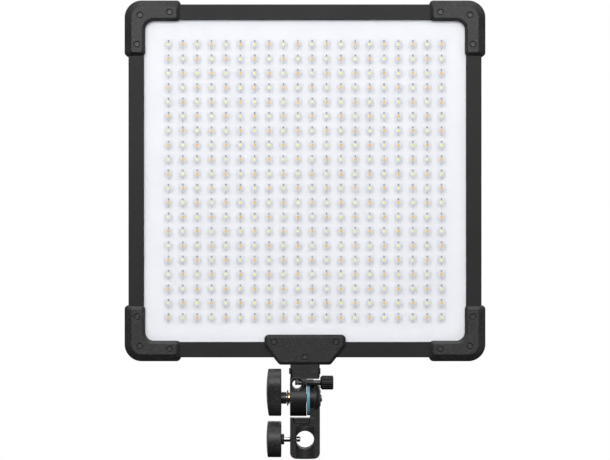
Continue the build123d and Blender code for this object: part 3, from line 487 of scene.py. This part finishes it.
def tidy_mesh(mesh, weld):
    """Welds points that meet, if asked to, and turns the faces outwards."""
    work = bmesh.new()
    work.from_mesh(mesh)
    if weld:
        bmesh.ops.remove_doubles(work, verts=work.verts, dist=weld)
    bmesh.ops.recalc_face_normals(work, faces=work.faces)
    work.to_mesh(mesh)
    work.free()


# ---- LEDs ------------------------------------------------------------------------------


def led_places(parity, y):
    """The LED places of one parity, as on a chessboard, or all of them for None."""
    low_a, high_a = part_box("leds_cool")
    low_b, high_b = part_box("leds_warm")
    middle_x = (min(low_a.x, low_b.x) + max(high_a.x, high_b.x)) / 2
    middle_z = (min(low_a.z, low_b.z) + max(high_a.z, high_b.z)) / 2
    first = -(LED_COUNT - 1) / 2 * LED_PITCH
    return [
        (middle_x + first + column * LED_PITCH, y, middle_z - first - row * LED_PITCH)
        for column in range(LED_COUNT)
        for row in range(LED_COUNT)
        if parity is None or (column + row) % 2 == parity
    ]


def led_package(height):
    """One package facing -Y: a drafted body with a filled well and a terminal at each end."""
    shell = Shell()
    half_x, half_z = LED_BODY[0] / 2, LED_BODY[1] / 2
    well_x, well_z = PHOSPHOR_HALF
    sunk = PHOSPHOR_SUNK
    rings = (  # half width, half height, corner, Y, material
        (half_x, half_z, LED_CORNER, 0.0, LED_SHELL),
        (half_x, half_z, LED_CORNER, -0.35 * height, LED_SHELL),
        (half_x - 0.08 * MM, half_z - 0.08 * MM, 0.2 * MM, -0.9 * height, LED_SHELL),
        (half_x - 0.16 * MM, half_z - 0.16 * MM, 0.2 * MM, -height, LED_SHELL),
        (well_x, well_z, 0.55 * MM, -height, LED_SHELL),
        (0.94 * well_x, 0.94 * well_z, 0.5 * MM, sunk - height, LED_SHELL),
        (0.6 * well_x, 0.6 * well_z, 0.4 * MM, 0.4 * sunk - height, LED_FILL),
        (0.25 * well_x, 0.25 * well_z, 0.2 * MM, 0.15 * sunk - height, LED_FILL),
    )
    loops = [(rounded_rectangle(*ring[:3], LED_POINTS), *ring[3:]) for ring in rings]
    starts = shell.stack(loops, LED_POINTS)
    shell.lid(starts[0], LED_POINTS, LED_SHELL)
    shell.lid(starts[-1], LED_POINTS, LED_FILL, reverse=True)
    for side in (-1, 1):
        shell.add(terminal(side, height))
    return shell


def terminal(side, height):
    """A plated foot that wraps the end of the package."""
    foot = Shell()
    outline = rounded_rectangle(*TERMINAL_HALF, TERMINAL_CORNER, TERMINAL_POINTS)
    outline = outline + (0, side * (LED_BODY[1] / 2 - TERMINAL_INSET))
    low = foot.loop(outline, 0.0)
    high = foot.loop(outline, -TERMINAL_HEIGHT * height)
    foot.band(low, high, TERMINAL_POINTS, LED_FOOT)
    foot.lid(low, TERMINAL_POINTS, LED_FOOT)
    foot.lid(high, TERMINAL_POINTS, LED_FOOT, reverse=True)
    return foot


def build_leds():
    """Both colours of LED, in the places of their CAD nodes."""
    body = pale_plastic("led_body", (0.86, 0.86, 0.85), 0.4)
    silver = bare_metal("led_terminal", (0.80, 0.80, 0.78), 0.3, (1.0, 1.0, 1.0))
    fills = {
        "leds_cool": phosphor("phosphor_cool", (1.0, 0.97, 0.36), (1.0, 0.98, 0.50)),
        "leds_warm": phosphor("phosphor_warm", (1.0, 0.55, 0.09), (1.0, 0.64, 0.18)),
    }
    for parity, (node, fill) in enumerate(fills.items()):
        low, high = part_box(node)
        package = led_package(high.y - low.y)
        shell = package.repeated(led_places(parity, high.y))
        piece = make_piece(node + "_packages", shell, (body, fill, silver))
        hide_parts(node)
        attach(piece, "panel")


# ---- lens sheet ------------------------------------------------------------------------


def lens_cell(front):
    """One square of the sheet's front: a raised pad with a groove round a low dome."""
    shell = Shell()
    pad_x, pad_z = LENS_PAD[0] / 2, LENS_PAD[1] / 2
    dome_x, dome_z = LENS_DOME[0] / 2, LENS_DOME[1] / 2
    top = front - LENS_PAD_HEIGHT
    slope, groove = LENS_PAD_SLOPE, LENS_GROOVE
    # The pad and ring slots are tinted darker: painted shade where the lenses refract.
    loops = [
        (square_loop(LED_PITCH / 2), front, SHEET_CLEAR),
        (rounded_rectangle(pad_x, pad_z, LENS_PAD_CORNER), front, SHEET_CLEAR),
        (rounded_rectangle(pad_x - slope, pad_z - slope, LENS_PAD_CORNER - slope), top, SHEET_PAD_SHADE),
        (ellipse(dome_x + groove / 2, dome_z + groove / 2), top, SHEET_PAD_SHADE),
        (ellipse(dome_x, dome_z), top + LENS_PAD_HEIGHT / 2, SHEET_RING_SHADE),
        (ellipse(0.88 * dome_x, 0.88 * dome_z), top - 0.35 * LENS_DOME_HEIGHT, SHEET_RING_SHADE),
        (ellipse(0.62 * dome_x, 0.62 * dome_z), top - 0.75 * LENS_DOME_HEIGHT, SHEET_PAD_SHADE),
        (ellipse(0.25 * dome_x, 0.25 * dome_z), top - LENS_DOME_HEIGHT, SHEET_PAD_SHADE),
    ]
    starts = shell.stack(loops, LOOP_POINTS)
    shell.lid(starts[-1], LOOP_POINTS, SHEET_PAD_SHADE, reverse=True)
    return shell


def pin(start, end, z, slot):
    """A moulded pin from the sheet's back to the board, z above the LED's middle."""
    shell = Shell()
    outline = ellipse(PIN_RADIUS, PIN_RADIUS, PIN_POINTS) + (0, z)
    first, last = (shell.loop(outline, y) for y in (start, end))
    shell.band(first, last, PIN_POINTS, slot)
    shell.lid(first, PIN_POINTS, slot, reverse=True)
    shell.lid(last, PIN_POINTS, slot)
    return shell


def sheet_outline():
    """The CAD sheet's outline as (X, Z), clockwise from its upper right, in two halves."""
    low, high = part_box("lens_sheet")
    co = np.array([v.co for v in frame["nodes"]["lens_sheet"].data.vertices])
    corners = np.unique(np.round(co[:, (0, 2)], 6), axis=0)
    right = corners[corners[:, 0] > 0]
    top = right[right[:, 1] > (low.z + high.z) / 2]
    bottom = right[right[:, 1] < (low.z + high.z) / 2]
    top = top[np.argsort(top[:, 0])]
    outer = bottom[bottom[:, 0] > high.x / 2]
    outer = outer[np.argsort(-outer[:, 0])]
    notch = bottom[bottom[:, 0] < high.x / 2]
    notch = notch[np.argsort(notch[:, 1])]
    half = [tuple(p) for p in (*top, *outer, *notch)]
    return half, [(-x, z) for x, z in reversed(half)]


def sheet_rim(front, back, field_half, middle):
    """The flat border round the lens field, the sheet's edge and its back."""
    right, left = sheet_outline()
    shell = Shell()
    steps = np.linspace(-field_half, field_half, LED_COUNT * LOOP_POINTS // 4 + 1)
    x0, z0 = middle
    sides = {
        "top": [(x0 + s, z0 + field_half) for s in steps],
        "right": [(x0 + field_half, z0 - s) for s in steps],
        "bottom": [(x0 - s, z0 - field_half) for s in steps],
        "left": [(x0 - field_half, z0 + s) for s in steps],
    }
    borders = {
        "top": [right[0], left[-1]],
        "right": [right[3], right[2], right[1], right[0]],
        "bottom": [left[2], left[1], left[0], right[5], right[4], right[3]],
        "left": [left[-1], left[4], left[3], left[2]],
    }
    for name, inner in sides.items():
        start = shell.loop(inner + borders[name], front)
        shell.lid(start, len(inner) + len(borders[name]), SHEET_CLEAR)
    around = right + left
    front_loop = shell.loop(around, front)
    back_loop = shell.loop(around, back)
    shell.band(front_loop, back_loop, len(around), SHEET_CLEAR)
    shell.lid(back_loop, len(around), SHEET_CLEAR)
    return shell


def build_lens_sheet():
    """The clear sheet in front of the LEDs, with a lens for each and its two pins."""
    low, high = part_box("lens_sheet")
    board_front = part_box("led_board")[0].y
    places = led_places(None, 0.0)
    middle = (
        (places[0][0] + places[-1][0]) / 2,
        (places[0][2] + places[-1][2]) / 2,
    )
    shell = lens_cell(low.y).repeated(places)
    shell.add(sheet_rim(low.y, high.y, LED_COUNT / 2 * LED_PITCH, middle))
    pin_start = high.y + PIN_GAP
    # The upper pin is coloured dark and the lower one grey, as painted shade on moulded pins.
    pins = pin(pin_start, board_front, PIN_ABOVE, PIN_DEEP_SHADE)
    pins.add(pin(pin_start, board_front, PIN_BELOW, PIN_LIGHT_SHADE))
    shell.add(pins.repeated(places))
    materials = (
        # The pad and ring materials are tinted darker as painted shade.
        clear_sheet("lens_clear", (0.997, 0.998, 1.0), 0.0, (0.88, 0.89, 0.91)),
        clear_sheet("lens_pad_painted_shade", (0.977, 0.979, 0.988), 0.03, (0.86, 0.87, 0.91)),
        clear_sheet("lens_ring_painted_shade", (0.935, 0.94, 0.965), 0.04, (0.66, 0.68, 0.76)),
        pale_plastic("lens_pin_deep_painted_shade", (0.16, 0.16, 0.17), 0.5),
        pale_plastic("lens_pin_light_painted_shade", (0.68, 0.68, 0.72), 0.5),
    )
    piece = make_piece("lens_sheet_moulded", shell, materials, weld=WELD)
    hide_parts("lens_sheet")
    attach(piece, "panel")


# ---- the scene -------------------------------------------------------------------------


def dress_cad_nodes():
    """Gives each CAD node its slot's material, apart from those that pieces replace."""
    materials = slot_materials()
    slots = {p["node"]: p["material_slot"] for p in frame["record"]["subparts"]}
    for node, thing in frame["nodes"].items():
        material = materials.get(slots[node])
        if material is None:
            continue
        thing.data.materials.clear()
        thing.data.materials.append(material)


def build_floor():
    """A plain pale floor, which sends no light back onto the object."""
    surface = Surface("floor_paint", (0.80, 0.80, 0.80), 0.7)
    tone = surface.spread(surface.noise(0.3, detail=3.0), 0.3, 0.7)
    surface.set("Base Color", surface.blend(tone, (0.78, 0.78, 0.78), (0.82, 0.82, 0.82)))
    bpy.ops.mesh.primitive_circle_add(
        vertices=FLOOR_POINTS, radius=FLOOR_RADIUS, fill_type="NGON", location=(0, 0, FLOOR_LEVEL)
    )
    floor = bpy.context.object
    floor.name = "floor"
    floor.data.materials.append(surface.material)
    floor.visible_diffuse = False
    floor.visible_glossy = False


def build_world():
    """White to the eye, and as light a sky that is bright above and behind, dark below."""
    world = bpy.data.worlds.new("studio")
    bpy.context.scene.world = world
    world.use_nodes = True
    nodes, links = world.node_tree.nodes, world.node_tree.links
    background = nodes["Background"]
    coordinates = nodes.new("ShaderNodeTexCoord")
    split = nodes.new("ShaderNodeSeparateXYZ")
    ramp = nodes.new("ShaderNodeValToRGB")
    path = nodes.new("ShaderNodeLightPath")
    mix = nodes.new("ShaderNodeMix")
    mix.data_type = "RGBA"
    height = nodes.new("ShaderNodeMapRange")
    height.inputs["From Min"].default_value = -1.0
    links.new(coordinates.outputs["Generated"], split.inputs["Vector"])
    links.new(split.outputs["Z"], height.inputs["Value"])
    links.new(height.outputs["Result"], ramp.inputs["Fac"])
    elements = ramp.color_ramp.elements
    while len(elements) < len(SKY_LEVELS):
        elements.new(0.5)
    for element, (place, level) in zip(elements, SKY_LEVELS):
        element.position = place
        element.color = (level, level, level, 1.0)
    behind = nodes.new("ShaderNodeMapRange")
    for socket, number in zip(("From Min", "From Max", "To Min", "To Max"),
                              (*SKY_SPAN, FRONT_SKY, 1.0)):
        behind.inputs[socket].default_value = number
    dimmed = nodes.new("ShaderNodeVectorMath")
    dimmed.operation = "SCALE"
    links.new(split.outputs["Y"], behind.inputs["Value"])
    links.new(ramp.outputs["Color"], dimmed.inputs[0])
    links.new(behind.outputs["Result"], dimmed.inputs["Scale"])
    links.new(path.outputs["Is Camera Ray"], mix.inputs["Factor"])
    links.new(dimmed.outputs["Vector"], mix.inputs[6])
    mix.inputs[7].default_value = (1.0, 1.0, 1.0, 1.0)
    links.new(mix.outputs[2], background.inputs["Color"])


def area_light(name, place, size, power, target):
    """A soft light that faces the target and isn't seen itself."""
    data = bpy.data.lights.new(name, "AREA")
    data.shape = "RECTANGLE"
    data.size, data.size_y = size
    data.energy = power
    light = bpy.data.objects.new(name, data)
    light.location = place
    aim = Vector(target) - Vector(place)
    light.rotation_euler = aim.to_track_quat("-Z", "Y").to_euler()
    light.visible_camera = False
    bpy.context.scene.collection.objects.link(light)


def build_lights():
    middle = tuple((CAD_LOW + CAD_HIGH) / 2)
    for name, place, size, power in LIGHTS:
        area_light(name, place, size, power, middle)


def build_camera():
    data = bpy.data.cameras.new("camera")
    data.sensor_width = CAMERA_SENSOR
    data.lens = CAMERA_LENS
    data.clip_start, data.clip_end = 0.1, 50.0
    camera = bpy.data.objects.new("camera", data)
    camera.location = CAMERA_PLACE
    camera.rotation_euler = (math.radians(90), 0, 0)
    bpy.context.scene.collection.objects.link(camera)
    bpy.context.scene.camera = camera


dress_cad_nodes()
build_leds()
build_lens_sheet()
build_floor()
build_world()
build_lights()
build_camera()
bpy.context.scene.view_settings.view_transform = "Standard"
